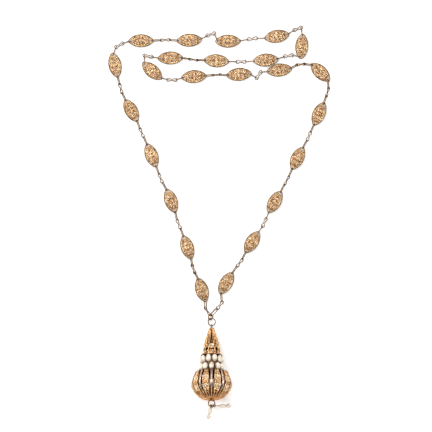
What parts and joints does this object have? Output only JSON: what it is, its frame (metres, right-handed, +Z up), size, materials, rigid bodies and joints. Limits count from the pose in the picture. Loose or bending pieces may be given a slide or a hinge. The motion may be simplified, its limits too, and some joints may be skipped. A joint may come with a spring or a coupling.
{
  "type": "sautoir necklace",
  "caption": "Long neck chain of pierced navette plaques and fine wire links, with a pierced cone and bulb pendant set with pearl rows and pearl drops.",
  "frame": {"origin": "middle of the whole laid-out necklace, at the height of the table it lies on", "axes": "+Z up from the table, +Y away from the pendant along the two strands, +X across them"},
  "size_m": [0.1598, 0.2832, 0.0288],
  "materials": {
    "plaque_gold": "pale reddish gold filigree",
    "link_gold": "darker gold wire",
    "pendant_gold": "yellow gold filigree",
    "pearl": "cream pearl lustre"
  },
  "bodies": {
    "root": {"plaque_01": "plaque_gold", "plaque_02": "plaque_gold", "plaque_03": "plaque_gold", "plaque_04": "plaque_gold", "plaque_05": "plaque_gold", "plaque_06": "plaque_gold", "plaque_07": "plaque_gold", "plaque_08": "plaque_gold", "plaque_09": "plaque_gold", "plaque_10": "plaque_gold", "plaque_11": "plaque_gold", "plaque_12": "plaque_gold", "plaque_13": "plaque_gold", "plaque_14": "plaque_gold", "plaque_15": "plaque_gold", "plaque_16": "plaque_gold", "plaque_17": "plaque_gold", "plaque_18": "plaque_gold", "plaque_19": "plaque_gold", "plaque_20": "plaque_gold", "plaque_21": "plaque_gold", "plaque_22": "plaque_gold", "plaque_23": "plaque_gold", "plaque_24": "plaque_gold", "chain_links_left": "link_gold", "chain_links_right": "link_gold", "junction_ring": "link_gold", "hanger_ring": "link_gold", "spindle": "pendant_gold", "cone": "pendant_gold", "pearl_gallery": "pendant_gold", "upper_pearls": "pearl", "lower_pearls": "pearl", "bulb": "pendant_gold", "drop_links": "link_gold", "drop_pins": "link_gold", "drop_pearls": "pearl"}
  },
  "joints": []
}
